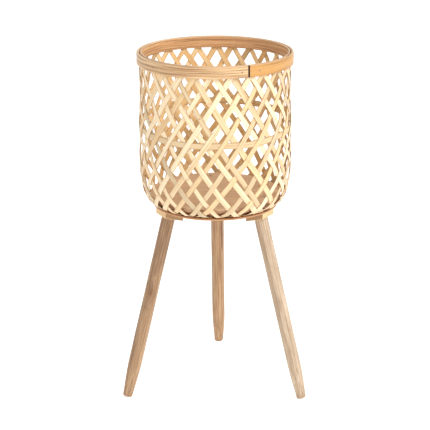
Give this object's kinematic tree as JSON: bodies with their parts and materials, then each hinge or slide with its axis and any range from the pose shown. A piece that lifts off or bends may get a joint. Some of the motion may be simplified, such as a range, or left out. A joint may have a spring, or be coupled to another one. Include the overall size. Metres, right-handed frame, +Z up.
{
  "type": "woven bamboo planter basket on three legs",
  "caption": "Round planter basket woven from bamboo splints between bent rim hoops and a wooden base, on splayed tapered round legs that screw off.",
  "frame": {"origin": "on the floor, under the centre of the basket", "axes": "+Z up along the axis of the basket, +Y towards the rear leg (within 2 degrees), +X to the right as seen from the front"},
  "size_m": [0.3043, 0.301, 0.57],
  "materials": {
    "bamboo_hoop": "satin",
    "bamboo_splint": "satin",
    "base_wood": "matte",
    "block_wood": "matte",
    "leg_wood": "satin",
    "zinc_steel": "satin"
  },
  "bodies": {
    "basket": {"rim_outer_hoop": "bamboo_hoop", "rim_inner_hoop": "bamboo_hoop", "rim_brads": "zinc_steel", "waist_band": "bamboo_splint", "base_board": "base_wood", "bottom_plate": "base_wood", "block_screws": "zinc_steel", "right_splints_01": "bamboo_splint", "right_splints_02": "bamboo_splint", "right_splints_03": "bamboo_splint", "right_splints_04": "bamboo_splint", "right_splints_05": "bamboo_splint", "right_splints_06": "bamboo_splint", "right_splints_07": "bamboo_splint", "right_splints_08": "bamboo_splint", "right_splints_09": "bamboo_splint", "right_splints_10": "bamboo_splint", "right_splints_11": "bamboo_splint", "right_splints_12": "bamboo_splint", "right_splints_13": "bamboo_splint", "left_splints_01": "bamboo_splint", "left_splints_02": "bamboo_splint", "left_splints_03": "bamboo_splint", "left_splints_04": "bamboo_splint", "left_splints_05": "bamboo_splint", "left_splints_06": "bamboo_splint", "left_splints_07": "bamboo_splint", "left_splints_08": "bamboo_splint", "left_splints_09": "bamboo_splint", "left_splints_10": "bamboo_splint", "left_splints_11": "bamboo_splint", "left_splints_12": "bamboo_splint", "left_splints_13": "bamboo_splint", "leg_block_rear": "block_wood", "threaded_insert_rear": "zinc_steel", "leg_block_left": "block_wood", "threaded_insert_left": "zinc_steel", "leg_block_right": "block_wood", "threaded_insert_right": "zinc_steel"},
    "rear_bolt": {"hanger_bolt_rear": "zinc_steel"},
    "rear_leg": {"leg_rear": "leg_wood"},
    "left_bolt": {"hanger_bolt_left": "zinc_steel"},
    "left_leg": {"leg_left": "leg_wood"},
    "right_bolt": {"hanger_bolt_right": "zinc_steel"},
    "right_leg": {"leg_right": "leg_wood"}
  },
  "joints": [
    {"name": "rear_bolt_travel", "type": "slide", "parent": "basket", "child": "rear_bolt", "axis": [0.0086, 0.2587, -0.9659], "range_m": [0, 0.02]},
    {"name": "rear_leg_turn", "type": "hinge", "parent": "rear_bolt", "child": "rear_leg", "pos_m": [0.00289, 0.08706, 0.3019], "axis": [0.0086, 0.2587, -0.9659], "range_deg": [0, 5761]},
    {"name": "left_bolt_travel", "type": "slide", "parent": "basket", "child": "left_bolt", "axis": [-0.2283, -0.1219, -0.9659], "range_m": [0, 0.02]},
    {"name": "left_leg_turn", "type": "hinge", "parent": "left_bolt", "child": "left_leg", "pos_m": [-0.07684, -0.04103, 0.3019], "axis": [-0.2283, -0.1219, -0.9659], "range_deg": [0, 5761]},
    {"name": "right_bolt_travel", "type": "slide", "parent": "basket", "child": "right_bolt", "axis": [0.2197, -0.1368, -0.9659], "range_m": [0, 0.02]},
    {"name": "right_leg_turn", "type": "hinge", "parent": "right_bolt", "child": "right_leg", "pos_m": [0.07395, -0.04603, 0.3019], "axis": [0.2197, -0.1368, -0.9659], "range_deg": [0, 5761]}
  ],
  "couplings": [
    {"joint": "rear_leg_turn", "follows": "rear_bolt_travel", "rad_per_m": 5026.5},
    {"joint": "left_leg_turn", "follows": "left_bolt_travel", "rad_per_m": 5026.5},
    {"joint": "right_leg_turn", "follows": "right_bolt_travel", "rad_per_m": 5026.5}
  ]
}
